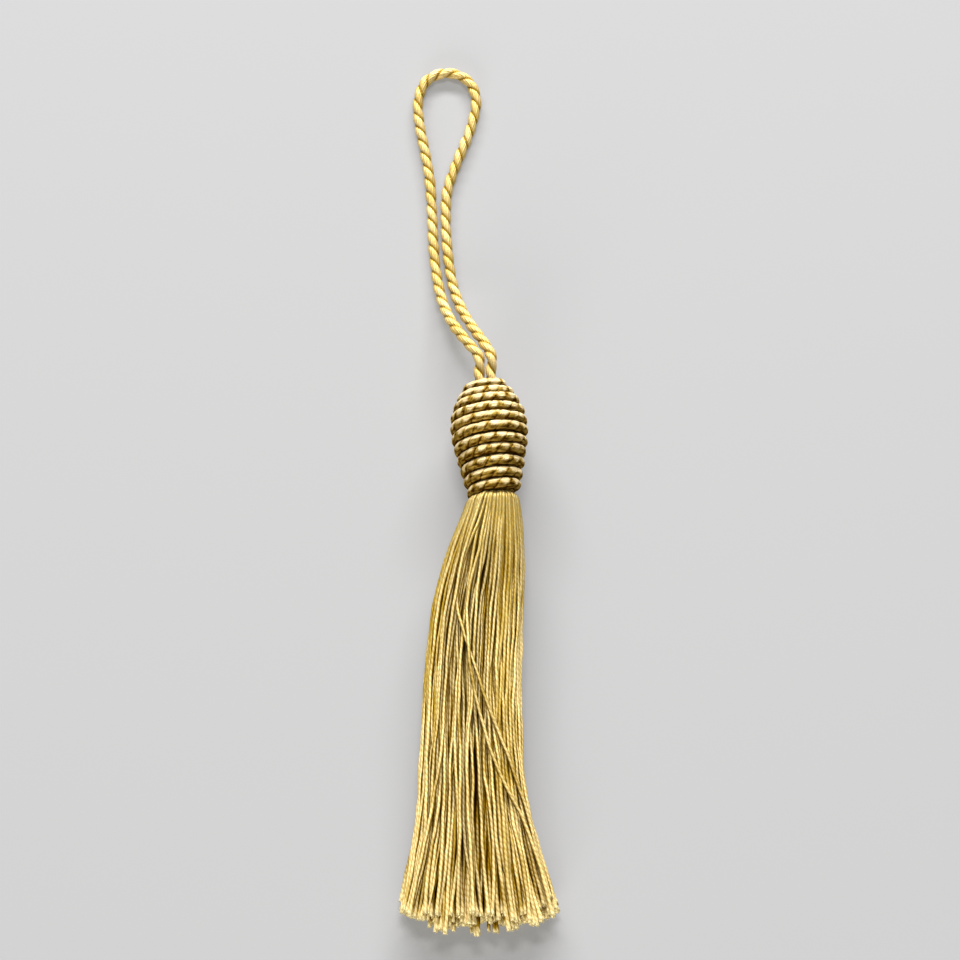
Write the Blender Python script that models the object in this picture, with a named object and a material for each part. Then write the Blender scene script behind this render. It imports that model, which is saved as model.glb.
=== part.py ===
"""Silk tassel lying on a flat surface.

A twisted cord is wound round the gathered tops of the threads and makes the
egg-shaped head.  The threads leave it at the neck and spread into the skirt,
and a loop of the same cord comes out of the crown.

Lengths in the tables and constants are millimetres; the model is in metres.
+Z is up, +Y runs from the trimmed ends towards the loop, and the origin is on
the surface, under the middle of the head and skirt.
"""

import math

import bpy
import numpy as np

MM = 0.001

# Cord, used for the winding and for the loop
CORD_DIAMETER = 1.6
TURN_PITCH = 1.68
TURN_GROOVE_DEPTH = 0.42

# Head, on its own axis: distance from the crown and radius over the turns
HEAD_PROFILE = (
    # from_crown, radius
    (0.0, 2.4),
    (0.8, 3.1),
    (2.0, 3.95),
    (3.4, 4.75),
    (5.0, 5.35),
    (6.8, 5.65),
    (8.6, 5.6),
    (10.4, 5.35),
    (12.2, 4.95),
    (14.0, 4.55),
    (15.8, 4.15),
    (18.0, 3.75),
)
HEAD_LENGTH = HEAD_PROFILE[-1][0]
CROWN_Y = 39.82
CROWN_X = 1.0
CROWN_RISE = math.radians(4.0)  # crown end tipped up by the weight of the skirt
CROWN_LEAN = math.radians(4.0)  # crown end turned to -X
FLAT_SPOT_DEPTH = 0.2
RECESS_RADIUS = 2.0  # hole between the first turn, where the loop's legs go in
RECESS_DEPTH = 1.1
RECESS_LIP = 0.1  # its wall ends this far below the crown, where the first turn begins
RINGS_PER_TURN = 6
HEAD_SEGMENTS = 30

# Skirt
PIECE_GAP = 0.3
SKIRT_SECTIONS = (
    # from_head, centre_x, half_width, underside, top
    (0.0, 2.25, 3.45, 1.25, 8.15),
    (1.8, 2.1, 4.05, 1.0, 8.45),
    (4.2, 1.75, 4.9, 0.6, 8.7),
    (7.0, 1.2, 5.6, 0.2, 8.7),
    (10.0, 0.65, 6.15, 0.0, 8.4),
    (14.0, 0.1, 6.6, 0.0, 8.0),
    (20.0, -0.45, 6.85, 0.0, 7.6),
    (27.0, -0.85, 7.0, 0.0, 7.2),
    (35.0, -1.05, 7.15, 0.0, 6.9),
    (43.0, -0.9, 7.5, 0.0, 6.6),
    (49.0, -0.6, 8.1, 0.0, 6.3),
    (53.0, -0.4, 9.0, 0.0, 6.0),
    (56.5, -0.25, 9.95, 0.0, 5.7),
    (59.5, -0.1, 10.75, 0.0, 5.3),
    (61.8, 0.0, 11.3, 0.0, 4.9),
)
SKIRT_END = SKIRT_SECTIONS[-1][0]
SKIRT_STEP = 2.1
SKIRT_SEGMENTS = 72
LOCKS_ON_TOP = 9
LOCK_DEPTH_AT_NECK = 0.08
LOCK_DEPTH_AT_ENDS = 0.9
NECK_SQUARENESS = 2.0  # exponent of the section's outline: 2 is an ellipse
END_SQUARENESS = 2.6
FLAT_SHARE = 1.22  # above 1 the section's lower half is cut off flat
TILT_FADE = 8.0  # over this length the sections turn from the head's axis to the surface
END_CROWNING = 1.5  # the middle threads reach further than the side ones
END_STAGGER = 0.5

# Loop
LEG_SPACING = 1.7  # between the two legs inside the crown
STRAIGHT_EXIT = 1.1  # the legs leave along the head's axis, to this far past the crown
LOOP_ROUTE = (
    # x, y, z of the cord's middle, from the left leg round to the right leg
    (0.0, 43.4, 6.35),
    (-2.0, 46.4, 5.5),
    (-4.0, 50.0, 3.7),
    (-5.4, 54.0, 1.9),
    (-6.25, 58.4, 1.0),
    (-6.75, 63.2, 0.85),
    (-7.0, 68.4, 0.85),
    (-7.35, 73.8, 0.85),
    (-8.1, 78.8, 0.85),
    (-8.95, 83.4, 0.85),
    (-9.2, 87.5, 0.85),
    (-7.9, 90.9, 0.85),
    (-4.8, 92.2, 0.85),
    (-1.7, 90.9, 0.85),
    (-0.4, 87.5, 0.85),
    (-1.3, 82.6, 0.85),
    (-3.1, 77.7, 0.85),
    (-4.7, 72.6, 0.85),
    (-4.95, 67.6, 0.85),
    (-4.65, 62.4, 0.85),
    (-3.95, 57.4, 1.05),
    (-2.7, 53.0, 2.0),
    (-1.0, 49.2, 3.8),
    (0.7, 46.0, 5.5),
    (1.9, 43.3, 6.35),
)
LOOP_POINT_SPACING = 2.0 * CORD_DIAMETER

SILK_GOLD = (0.55, 0.40, 0.12)
WINDING_GOLD = (0.45, 0.31, 0.09)


def clear_scene():
    for item in list(bpy.data.objects):
        bpy.data.objects.remove(item)


def silk_material(name, colour, roughness):
    material = bpy.data.materials.new(name)
    material.use_nodes = True
    shader = material.node_tree.nodes["Principled BSDF"]
    shader.inputs["Base Color"].default_value = (*colour, 1.0)
    shader.inputs["Roughness"].default_value = roughness
    shader.inputs["Metallic"].default_value = 0.0
    return material


def catmull_rom(before, start, end, after, share):
    """Point between start and end of a smooth curve through all four."""
    square, cube = share**2, share**3
    return 0.5 * (
        2.0 * start
        + (end - before) * share
        + (2.0 * before - 5.0 * start + 4.0 * end - after) * square
        + (3.0 * start - before - 3.0 * end + after) * cube
    )


def smooth_line(points, spacing, samples_per_span=24):
    """Evenly spaced points along a smooth curve through the given ones."""
    given = [np.array(point, float) for point in points]
    padded = [2.0 * given[0] - given[1], *given, 2.0 * given[-1] - given[-2]]
    fine = [given[0]]
    for before, start, end, after in zip(padded, padded[1:], padded[2:], padded[3:]):
        for step in range(1, samples_per_span + 1):
            fine.append(catmull_rom(before, start, end, after, step / samples_per_span))
    fine = np.array(fine)
    run = np.concatenate([[0.0], np.cumsum(np.linalg.norm(np.diff(fine, axis=0), axis=1))])
    count = max(2, round(run[-1] / spacing) + 1)
    wanted = np.linspace(0.0, run[-1], count)
    return np.stack([np.interp(wanted, run, fine[:, axis]) for axis in range(3)], axis=1)


def table_value(table, column, at):
    """Smooth value of one column of a table at a distance given by its first column."""
    places = np.array([row[0] for row in table])
    values = np.array([row[column] for row in table])
    slopes = np.gradient(values, places)
    span = int(np.clip(np.searchsorted(places, at) - 1, 0, len(places) - 2))
    width = places[span + 1] - places[span]
    share = float(np.clip((at - places[span]) / width, 0.0, 1.0))
    square, cube = share**2, share**3
    return (
        (2.0 * cube - 3.0 * square + 1.0) * values[span]
        + (cube - 2.0 * square + share) * width * slopes[span]
        + (3.0 * square - 2.0 * cube) * values[span + 1]
        + (cube - square) * width * slopes[span + 1]
    )


def ring_solid(name, rings, material):
    """Closed solid through rings of points, with a fan over each end."""
    segments = len(rings[0])
    points = [tuple(point * MM) for ring in rings for point in ring]
    first_middle = len(points)
    points.append(tuple(np.mean(rings[0], axis=0) * MM))
    points.append(tuple(np.mean(rings[-1], axis=0) * MM))
    faces = []
    for row in range(len(rings) - 1):
        for column in range(segments):
            following = (column + 1) % segments
            near, far = row * segments, (row + 1) * segments
            faces.append((near + column, near + following, far + following, far + column))
    last = (len(rings) - 1) * segments
    for column in range(segments):
        following = (column + 1) % segments
        faces.append((first_middle, following, column))
        faces.append((first_middle + 1, last + column, last + following))
    mesh = bpy.data.meshes.new(name)
    mesh.from_pydata(points, [], faces)
    mesh.validate()
    mesh.shade_smooth()
    mesh.set_sharp_from_angle(angle=math.radians(40.0))
    mesh.materials.append(material)
    solid = bpy.data.objects.new(name, mesh)
    bpy.context.scene.collection.objects.link(solid)
    return solid


def head_axes():
    """Unit vectors of the head: towards the crown, sideways and upwards."""
    along = np.array(
        [
            -math.sin(CROWN_LEAN) * math.cos(CROWN_RISE),
            math.cos(CROWN_LEAN) * math.cos(CROWN_RISE),
            math.sin(CROWN_RISE),
        ]
    )
    side = np.array([math.cos(CROWN_LEAN), math.sin(CROWN_LEAN), 0.0])
    return along, side, np.cross(side, along)


def crown_point():
    """Middle of the crown, at the height where the widest turn just meets the surface."""
    reach = max(
        from_crown * math.sin(CROWN_RISE) + radius * math.cos(CROWN_RISE)
        for from_crown, radius in HEAD_PROFILE
    )
    return np.array([CROWN_X, CROWN_Y, reach - FLAT_SPOT_DEPTH])


def head_point(from_crown, radius, angle):
    along, side, up = head_axes()
    outward = math.cos(angle) * side + math.sin(angle) * up
    return crown_point() - from_crown * along + radius * outward


def profile_stations():
    """Evenly spaced (from_crown, radius) pairs down the head, a few to each turn."""
    line = smooth_line([(row[0], row[1], 0.0) for row in HEAD_PROFILE], TURN_PITCH / RINGS_PER_TURN)
    return line[:, :2]


def make_head(material):
    """Turned egg form with the helical groove between the turns of cord."""
    rings = []
    angles = [math.tau * column / HEAD_SEGMENTS for column in range(HEAD_SEGMENTS)]
    rings.append([head_point(RECESS_DEPTH, 0.5 * RECESS_RADIUS, angle) for angle in angles])
    rings.append([head_point(RECESS_DEPTH, RECESS_RADIUS, angle) for angle in angles])
    rings.append([head_point(RECESS_LIP, RECESS_RADIUS, angle) for angle in angles])
    stations = profile_stations()
    for row, (from_crown, radius) in enumerate(stations):
        edge_fade = min(1.0, row / RINGS_PER_TURN, (len(stations) - 1 - row) / RINGS_PER_TURN)
        ring = []
        for angle in angles:
            turn = row / RINGS_PER_TURN - angle / math.tau
            groove = TURN_GROOVE_DEPTH * edge_fade * (1.0 - abs(math.sin(math.pi * turn)))
            point = head_point(from_crown, radius - groove, angle)
            point[2] = max(point[2], 0.0)
            ring.append(point)
        rings.append(ring)
    return ring_solid("head_winding", rings, material)


def skirt_outline(angle, squareness):
    """Across and up, each -1 to 1, of a section that is rounded above and flat below."""
    across = math.copysign(abs(math.cos(angle)) ** (2.0 / squareness), math.cos(angle))
    up = math.copysign(abs(math.sin(angle)) ** (2.0 / squareness), math.sin(angle))
    if up < 0.0:
        up = max(up * FLAT_SHARE, -1.0)
    return across, up


def lock_height(angle, from_head):
    """Swell of the locks of threads over the section, 0 in a furrow and 1 on a lock."""
    if math.sin(angle) <= 0.0:
        return 0.5
    wander = 0.45 * math.sin(2.0 * angle + 0.06 * from_head) + 0.3 * math.sin(0.11 * from_head)
    lock = abs(math.sin(LOCKS_ON_TOP * angle + wander))
    fade = min(1.0, 2.5 * math.sin(angle))
    return 0.5 + (lock - 0.5) * fade


def skirt_ring(from_head):
    share = from_head / SKIRT_END
    squareness = NECK_SQUARENESS + (END_SQUARENESS - NECK_SQUARENESS) * min(1.0, 3.0 * share)
    centre_x, half_width, underside, top = (
        table_value(SKIRT_SECTIONS, column, from_head) for column in (1, 2, 3, 4)
    )
    underside = max(underside, 0.0)
    middle, half_height = 0.5 * (underside + top), 0.5 * (top - underside)
    depth = LOCK_DEPTH_AT_NECK + (LOCK_DEPTH_AT_ENDS - LOCK_DEPTH_AT_NECK) * share**1.5
    along = head_axes()[0]
    start = crown_point() - (HEAD_LENGTH + PIECE_GAP) * along
    tilt = max(0.0, 1.0 - from_head / TILT_FADE)
    ring = []
    for column in range(SKIRT_SEGMENTS):
        angle = math.tau * (column + 0.5) / SKIRT_SEGMENTS
        across, up = skirt_outline(angle, squareness)
        dip = depth * (1.0 - lock_height(angle, from_head))
        stagger = END_STAGGER * math.sin(3.0 * math.pi * across + 1.0)
        ragged = (END_CROWNING * across**2 + stagger + END_STAGGER) * share**6
        x = centre_x + (half_width - dip) * across
        z = max(middle + (half_height - dip * max(up, 0.0)) * up, 0.0)
        square_to_head = -(along[0] * (x - start[0]) + along[2] * (z - start[2])) / along[1]
        ring.append(np.array([x, start[1] - from_head + ragged + tilt * square_to_head, z]))
    return ring


def make_skirt(material):
    """Threads as one solid, from just under the last turn to the trimmed ends."""
    count = round(SKIRT_END / SKIRT_STEP)
    rings = [skirt_ring(SKIRT_END * row / count) for row in range(count + 1)]
    return ring_solid("skirt", rings, material)


def loop_points():
    """Left leg, far bend and right leg, with both ends 0.3 mm above the crown's recess."""
    along, side, _ = head_axes()
    seat = crown_point() - (RECESS_DEPTH - PIECE_GAP) * along
    mouth = crown_point() + STRAIGHT_EXIT * along
    half = 0.5 * LEG_SPACING * side
    route = [seat - half, mouth - half, *map(np.array, LOOP_ROUTE), mouth + half, seat + half]
    return smooth_line(route, LOOP_POINT_SPACING)


def make_loop(material):
    """Twisted cord as a plain round tube, both ends in the crown."""
    points = loop_points()
    curve = bpy.data.curves.new("hanging_loop", "CURVE")
    curve.dimensions = "3D"
    curve.bevel_depth = 0.5 * CORD_DIAMETER * MM
    curve.bevel_resolution = 2
    curve.use_fill_caps = True
    spline = curve.splines.new("POLY")
    spline.points.add(len(points) - 1)
    for place, point in zip(spline.points, points):
        place.co = (*(point * MM), 1.0)
    spline.use_smooth = True
    curve.materials.append(material)
    tube = bpy.data.objects.new("hanging_loop", curve)
    bpy.context.scene.collection.objects.link(tube)
    return tube


def main():
    clear_scene()
    make_head(silk_material("wound_cord", WINDING_GOLD, 0.42))
    make_skirt(silk_material("skirt_threads", SILK_GOLD, 0.38))
    make_loop(silk_material("loop_cord", SILK_GOLD, 0.42))


main()
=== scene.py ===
import math

import bpy
import numpy as np
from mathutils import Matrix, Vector


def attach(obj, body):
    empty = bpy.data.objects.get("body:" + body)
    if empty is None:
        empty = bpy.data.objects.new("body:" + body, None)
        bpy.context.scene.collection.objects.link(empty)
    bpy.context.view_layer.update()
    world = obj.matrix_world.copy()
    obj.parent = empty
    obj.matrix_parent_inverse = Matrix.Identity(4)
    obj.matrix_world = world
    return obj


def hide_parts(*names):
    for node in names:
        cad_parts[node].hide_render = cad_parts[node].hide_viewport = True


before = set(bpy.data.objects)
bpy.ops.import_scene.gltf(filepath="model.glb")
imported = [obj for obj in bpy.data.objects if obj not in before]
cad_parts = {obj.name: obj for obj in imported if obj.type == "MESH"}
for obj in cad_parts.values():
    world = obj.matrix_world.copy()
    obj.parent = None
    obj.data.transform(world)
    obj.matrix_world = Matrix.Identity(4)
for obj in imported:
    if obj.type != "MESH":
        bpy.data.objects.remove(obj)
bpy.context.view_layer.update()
mm = 0.001               # every length below is in millimetres
straightUp = np.array([0.0, 0.0, 1.0])


cameraView = {
    "target": (0.2, 25.4, 3.0),
    "distance": 520.0,
    "elevation": 70.0,       # degrees above the surface the tassel lies on
    "lens": 134.0,
}


def addCamera(view):
    lens = bpy.data.cameras.new("camera")
    lens.lens = view["lens"]
    lens.clip_start = 0.01
    camera = bpy.data.objects.new("camera", lens)
    bpy.context.scene.collection.objects.link(camera)
    rise = math.radians(view["elevation"])
    back = Vector((0.0, -math.cos(rise), math.sin(rise)))
    camera.location = (Vector(view["target"]) + view["distance"] * back) * mm
    camera.rotation_euler = back.to_track_quat("Z", "Y").to_euler()
    bpy.context.scene.camera = camera


addCamera(cameraView)
print("camera placed")


def curveThrough(points, share):
    # smooth curve through points (on the second last axis), read between each two of them
    first = 2 * points[..., :1, :] - points[..., 1:2, :]
    last = 2 * points[..., -1:, :] - points[..., -2:-1, :]
    padded = np.concatenate([first, points, last], axis=-2)
    at = share * (points.shape[-2] - 1)
    span = np.minimum(at.astype(int), points.shape[-2] - 2)
    step = (at - span)[:, None]
    before, start, end, after = (padded[..., span + i, :] for i in range(4))
    return 0.5 * (
        2 * start
        + (end - before) * step
        + (2 * before - 5 * start + 4 * end - after) * step**2
        + (3 * start - before - 3 * end + after) * step**3
    )


def runAlong(points):
    steps = np.linalg.norm(np.diff(points, axis=-2), axis=-1)
    start = np.zeros(steps.shape[:-1] + (1,))
    return np.concatenate([start, np.cumsum(steps, axis=-1)], axis=-1)


def evenLine(points, spacing):
    # evenly spaced points on a smooth curve through the given ones
    given = np.array(points, float)
    fine = curveThrough(given, np.linspace(0.0, 1.0, 40 * len(given)))
    run = runAlong(fine)
    wanted = np.linspace(0.0, run[-1], max(2, round(run[-1] / spacing) + 1))
    return np.stack([np.interp(wanted, run, fine[:, axis]) for axis in range(given.shape[1])], 1)


def unit(vectors):
    return vectors / np.maximum(np.linalg.norm(vectors, axis=-1, keepdims=True), 1e-9)


def readTable(table, column, places):
    # smooth values of a table whose first column is a distance
    known = np.array([row[0] for row in table])
    values = np.array([row[column] for row in table])
    slopes = np.gradient(values, known)
    span = np.clip(np.searchsorted(known, places) - 1, 0, len(known) - 2)
    width = known[span + 1] - known[span]
    share = np.clip((places - known[span]) / width, 0.0, 1.0)
    square, cube = share**2, share**3
    return (
        (2 * cube - 3 * square + 1) * values[span]
        + (cube - 2 * square + share) * width * slopes[span]
        + (3 * square - 2 * cube) * values[span + 1]
        + (cube - square) * width * slopes[span + 1]
    )


def easeIn(places, start, end):
    share = np.clip((places - start) / (end - start), 0.0, 1.0)
    return share * share * (3 - 2 * share)


def unevenness(rng, shape, run, longest):
    # slow random swings of about 1 either way, with waves of that length and shorter
    total = 0.0
    for wave in (1.0, 1.7, 2.9, 4.3):
        phase = rng.uniform(0, math.tau, shape)
        total = total + np.sin(math.tau * run * wave / longest + phase) / wave
    return total / 1.2


sheetMargin = {"across": 0.04, "up": 0.01, "end": 0.005}      # shares of a strip left empty


def tubeMesh(name, rings, marks, finish, strips=1):
    # rings: tubes x stations x sides x 3; marks: {name: one number for each point};
    # strips: how many strips of the sheet one tube is laid out on
    tubes, stations, sides = rings.shape[:3]
    body = tubes * stations * sides
    tube, station, side = np.meshgrid(
        np.arange(tubes), np.arange(stations - 1), np.arange(sides), indexing="ij"
    )
    low = (tube * stations + station) * sides
    after = (side + 1) % sides
    quads = np.stack([low + side, low + after, low + sides + after, low + sides + side], -1)
    # a fan over both ends of every tube
    middles = np.stack([rings[:, 0].mean(1), rings[:, -1].mean(1)], 1).reshape(-1, 3)
    endTube, endSide = np.meshgrid(np.arange(tubes), np.arange(sides), indexing="ij")
    endAfter = (endSide + 1) % sides
    first = endTube * stations * sides
    last = first + (stations - 1) * sides
    head = np.stack([body + 2 * endTube, first + endAfter, first + endSide], -1).reshape(-1, 3)
    tail = np.stack([body + 2 * endTube + 1, last + endSide, last + endAfter], -1).reshape(-1, 3)

    mesh = bpy.data.meshes.new(name)
    mesh.vertices.add(body + 2 * tubes)
    mesh.vertices.foreach_set("co", np.concatenate([rings.reshape(-1, 3), middles]).ravel() * mm)
    corners = np.concatenate([quads.ravel(), head.ravel(), tail.ravel()])
    mesh.loops.add(len(corners))
    mesh.loops.foreach_set("vertex_index", corners)
    starts = np.concatenate([
        np.arange(quads.size // 4) * 4, quads.size + np.arange(2 * len(head)) * 3
    ])
    mesh.polygons.add(len(starts))
    mesh.polygons.foreach_set("loop_start", starts)
    mesh.update(calc_edges=True)
    mesh.shade_smooth()
    mesh.materials.append(finish)

    # where each face lies on the sheet, and round (in turns) and along (in mm) its tube
    perStrip = math.ceil((stations - 1) / strips)
    strip = tube * strips + station // perStrip
    around = np.stack([side, side + 1, side + 1, side], -1) / sides
    row = np.stack([station, station, station + 1, station + 1], -1)
    besides, above, beyond = sheetMargin["across"], sheetMargin["up"], sheetMargin["end"]
    across = (strip[..., None] + besides + (1 - 2 * besides) * around) / (tubes * strips)
    up = (row - (station // perStrip * perStrip)[..., None]) / perStrip
    up = above + (1 - 2 * above) * up
    run = runAlong(rings.mean(2))
    endStrip = np.concatenate([endTube.ravel() * strips, endTube.ravel() * strips + strips - 1])
    endAcross = np.stack([(endStrip + 0.5) / (tubes * strips)] * 3, -1)
    atTail = np.repeat([0, 1], tubes * sides)
    endUp = np.stack([np.where(atTail, 1 - beyond, beyond)] * 3, -1)
    endRun = np.stack([np.where(atTail, np.tile(run[endTube.ravel(), -1], 2), 0.0)] * 3, -1)
    for layer, faces, ends in (
        ("OFBake", (across, up), (endAcross, endUp)),
        ("yarn", (around, run[tube[..., None], row]), (np.zeros_like(endRun), endRun)),
    ):
        flat = np.stack([np.concatenate([f.ravel(), e.ravel()]) for f, e in zip(faces, ends)], 1)
        mesh.uv_layers.new(name=layer).uv.foreach_set("vector", flat.astype(np.float32).ravel())

    for mark, values in marks.items():
        spread = np.broadcast_to(values, rings.shape[:3])
        ends = np.stack([spread[:, 0].mean(1), spread[:, -1].mean(1)], 1).ravel()
        held = mesh.attributes.new(mark, "FLOAT", "POINT")
        held.data.foreach_set("value", np.concatenate([spread.ravel(), ends]).astype(np.float32))
    piece = bpy.data.objects.new(name, mesh)
    bpy.context.scene.collection.objects.link(piece)
    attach(piece, "root")
    return piece


def yarnRings(paths, guide, yarn, turn=0.0, scale=1.0):
    # a ring for every point of every path, turned along the yarn so that the furrow between
    # two plies stays on one column of points
    forward = unit(np.gradient(paths, axis=-2))
    outward = unit(guide - (guide * forward).sum(-1, keepdims=True) * forward)
    across = np.cross(forward, outward)
    run = runAlong(paths)
    angle = turn + math.tau * yarn["hand"] * run / yarn["lay"]
    angle = angle[..., None] + math.tau * np.arange(yarn["sides"]) / yarn["sides"]
    dent = yarn["furrowDepth"] * furrowMark(yarn) + yarn["flat"] * plyMark(yarn)
    radius = yarn["radius"] * (1 - dent) * np.broadcast_to(scale, run.shape)[..., None]
    out = np.cos(angle)[..., None] * outward[..., None, :]
    out = out + np.sin(angle)[..., None] * across[..., None, :]
    return paths[..., None, :] + radius[..., None] * out


def sideMark(rings, paths, outward, start, end, stray=0.0):
    # 0 on the side of a yarn that faces outward, 1 on the sides that face away from there
    facing = (unit(rings - paths[..., None, :]) * outward[..., None, :]).sum(-1)
    return easeIn(stray - facing, -start, -end)


def furrowMark(yarn):
    # 1 in the furrow between two plies, falling fast to 0 on their backs
    share = yarn["plies"] * np.arange(yarn["sides"]) / yarn["sides"]
    away = np.abs(share - np.round(share)) * math.tau / yarn["plies"]
    return np.exp(-((away / yarn["furrowWidth"]) ** 2))


def plyMark(yarn):
    # 1 in the furrow, falling slowly to 0 on the backs, which rounds each ply
    share = yarn["plies"] * np.arange(yarn["sides"]) / yarn["sides"]
    return 0.5 + 0.5 * np.cos(math.tau * share)


class Amount:
    # a value socket that takes part in sums
    def __init__(self, tree, socket):
        self.tree = tree
        self.socket = socket

    def sum(self, operation, *terms):
        node = self.tree.nodes.new("ShaderNodeMath")
        node.operation = operation
        for place, term in enumerate(terms):
            if isinstance(term, Amount):
                self.tree.links.new(term.socket, node.inputs[place])
            else:
                node.inputs[place].default_value = term
        return Amount(self.tree, node.outputs[0])

    def __add__(self, other):
        return self.sum("ADD", self, other)

    def __radd__(self, other):
        return self.sum("ADD", other, self)

    def __sub__(self, other):
        return self.sum("SUBTRACT", self, other)

    def __rsub__(self, other):
        return self.sum("SUBTRACT", other, self)

    def __mul__(self, other):
        return self.sum("MULTIPLY", self, other)

    def __rmul__(self, other):
        return self.sum("MULTIPLY", other, self)

    def sine(self):
        return self.sum("SINE", self)

    def clamped(self):
        return self.sum("MINIMUM", self.sum("MAXIMUM", self, 0.0), 1.0)


class Finish:
    # a material whose nodes are made one call at a time
    def __init__(self, name):
        self.material = bpy.data.materials.new(name)
        self.material.use_nodes = True
        self.tree = self.material.node_tree
        self.shader = self.tree.nodes["Principled BSDF"]

    def node(self, kind, settings=None, sockets=None):
        node = self.tree.nodes.new("ShaderNode" + kind)
        for key, value in (settings or {}).items():
            setattr(node, key, value)
        self.feed(node, sockets or {})
        return node

    def feed(self, node, sockets):
        for key, value in sockets.items():
            if isinstance(value, Amount):
                self.tree.links.new(value.socket, node.inputs[key])
            elif isinstance(value, bpy.types.NodeSocket):
                self.tree.links.new(value, node.inputs[key])
            else:
                node.inputs[key].default_value = value

    def value(self, node, output):
        return Amount(self.tree, node.outputs[output])

    def mark(self, name):
        return self.value(self.node("Attribute", {"attribute_name": name}), "Fac")

    def mix(self, share, first, second, blend="MIX"):
        node = self.node("Mix", {"data_type": "RGBA", "blend_type": blend})
        self.feed(node, {0: share, 6: first, 7: second})
        return node.outputs[2]


silkLooks = {
    "threads": {
        # from the backs of the yarn down to the painted shade between its neighbours, then the
        # painted highlight of the cut ends
        "pale": (0.92, 0.78, 0.44), "gold": (0.48, 0.35, 0.045),
        "amber": (0.37, 0.23, 0.006), "paintedShadeBrown": (0.11, 0.042, 0.0),
        "cream": (1.0, 0.9, 0.56),
        "fibres": 5.0,              # filaments that show round the yarn
        "twist": -0.12,             # their turns in each millimetre
        "line": 0.3,                # how much amber shows between them
        "grain": 0.0,               # how unevenly the filaments take the painted shade
        "ridge": 0.006,
        "furrow": 0.15,             # how dark the painted shade is between two plies
        "plies": 2, "lay": 1.7, "plyRise": 0.013,       # twist that the mesh doesn't have
        "roughness": 0.37, "dulling": 0.4,              # and how much rougher the dark is
        "metallic": 0.12, "deepMetal": 0.9,
        "specular": 0.48, "sheen": (1.0, 0.86, 0.58),
    },
    "cord": {
        "pale": (0.86, 0.72, 0.42), "gold": (0.54, 0.39, 0.11),
        "amber": (0.40, 0.26, 0.035), "paintedShadeBrown": (0.10, 0.035, 0.001),
        "cream": (1.0, 0.84, 0.38),
        "fibres": 15.0, "twist": 0.227, "line": 0.3, "grain": 0.0, "ridge": 0.04,
        # its furrow darkness is painted shade between the plies, as for the threads
        "furrow": 0.8, "roughness": 0.38, "dulling": 0.0,
        "metallic": 0.15, "deepMetal": 0.85,
        "specular": 0.6, "sheen": (1.0, 0.76, 0.33),
    },
}
# wound tight, the cord is duller, and its filaments lie in uneven streaks
silkLooks["wound"] = {
    **silkLooks["cord"],
    "pale": (0.76, 0.65, 0.44), "gold": (0.60, 0.455, 0.235),
    "amber": (0.40, 0.275, 0.06), "paintedShadeBrown": (0.10, 0.042, 0.001),
    "streaks": 13.0, "twist": 0.3125, "line": 0.5, "grain": 1.1, "ridge": 0.09,
    "roughness": 0.6, "specular": 0.08,
}
silkShade = {
    "laySpread": (0.85, 0.3),       # least, and how much more where the phase mark is 1
    "streakGain": 3.0, "streakMiddle": 0.55, "streakRun": 0.7,
    "patches": (6.0, 0.5, 40.0),    # round the yarn, in a millimetre and by tint
    "mottle": 0.6,                  # how far patches stray from their own tint
    "mottledGloss": 0.16,
    # painted highlight: how far the cut ends are lifted towards cream
    "tipCream": 0.9,
    # painted shade colour, multiplied in where the upper threads are darkened
    "paintedDimColour": (0.43, 0.44, 0.46, 1),
    "amberBy": 0.4,                 # the painted shade at which all is amber
    "deepFrom": 0.5,                # and from which it turns to the dark brown of the painted shade
}


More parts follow.
